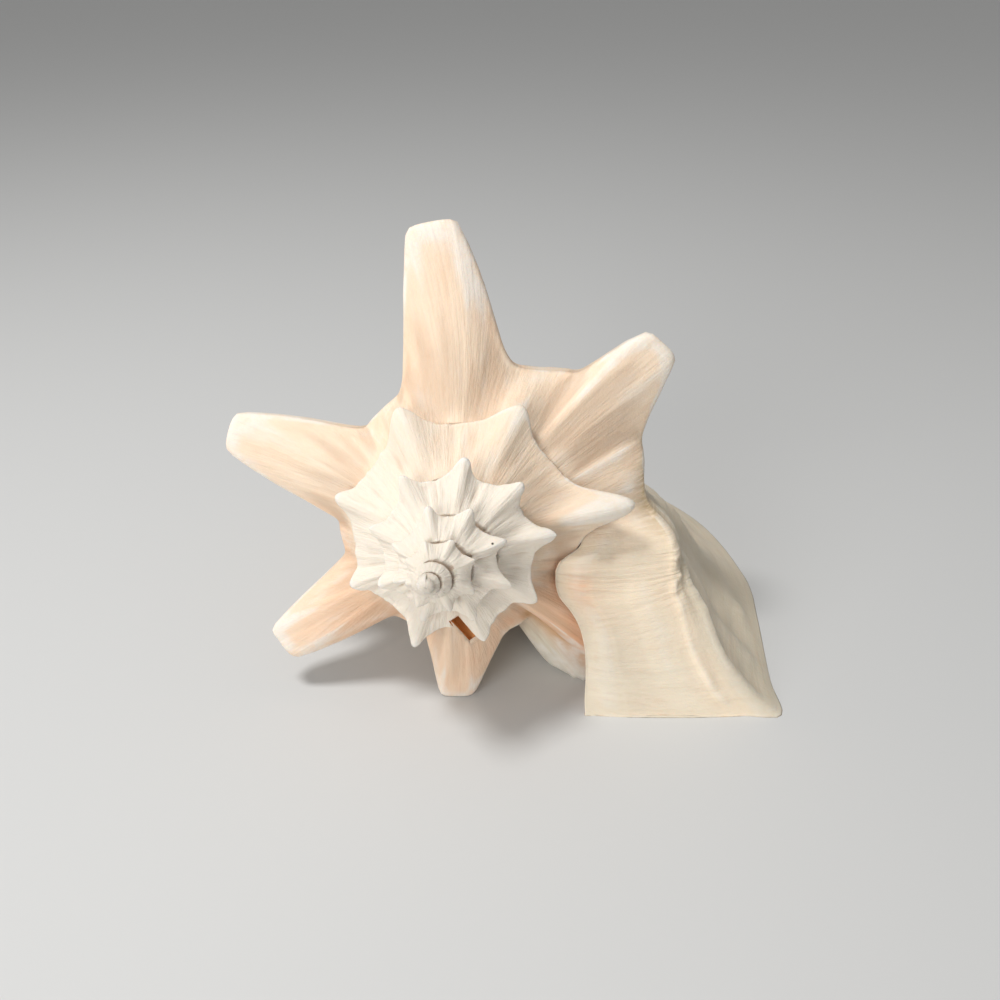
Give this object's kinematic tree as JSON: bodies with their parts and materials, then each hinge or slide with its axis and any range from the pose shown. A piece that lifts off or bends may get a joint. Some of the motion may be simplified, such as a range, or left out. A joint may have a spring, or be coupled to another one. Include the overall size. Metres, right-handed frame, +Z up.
{
  "type": "queen conch shell",
  "caption": "Large sea snail shell with a stepped spiky spire, long blunt shoulder spines and a broad open lip, lying on its mouth.",
  "frame": {"origin": "under the middle of the shell's box, on the surface it lies on", "axes": "+Z up from the surface; -Y towards the apex of the spire, +Y towards the canal; +X towards the open lip"},
  "size_m": [0.2192, 0.222, 0.1758],
  "materials": {
    "shell": "chalky cream and peach shell with fine growth lines, worn white on the spire and the spine tips, smooth orange glaze inside the mouth"
  },
  "bodies": {
    "root": {"shell": "shell"}
  },
  "joints": []
}
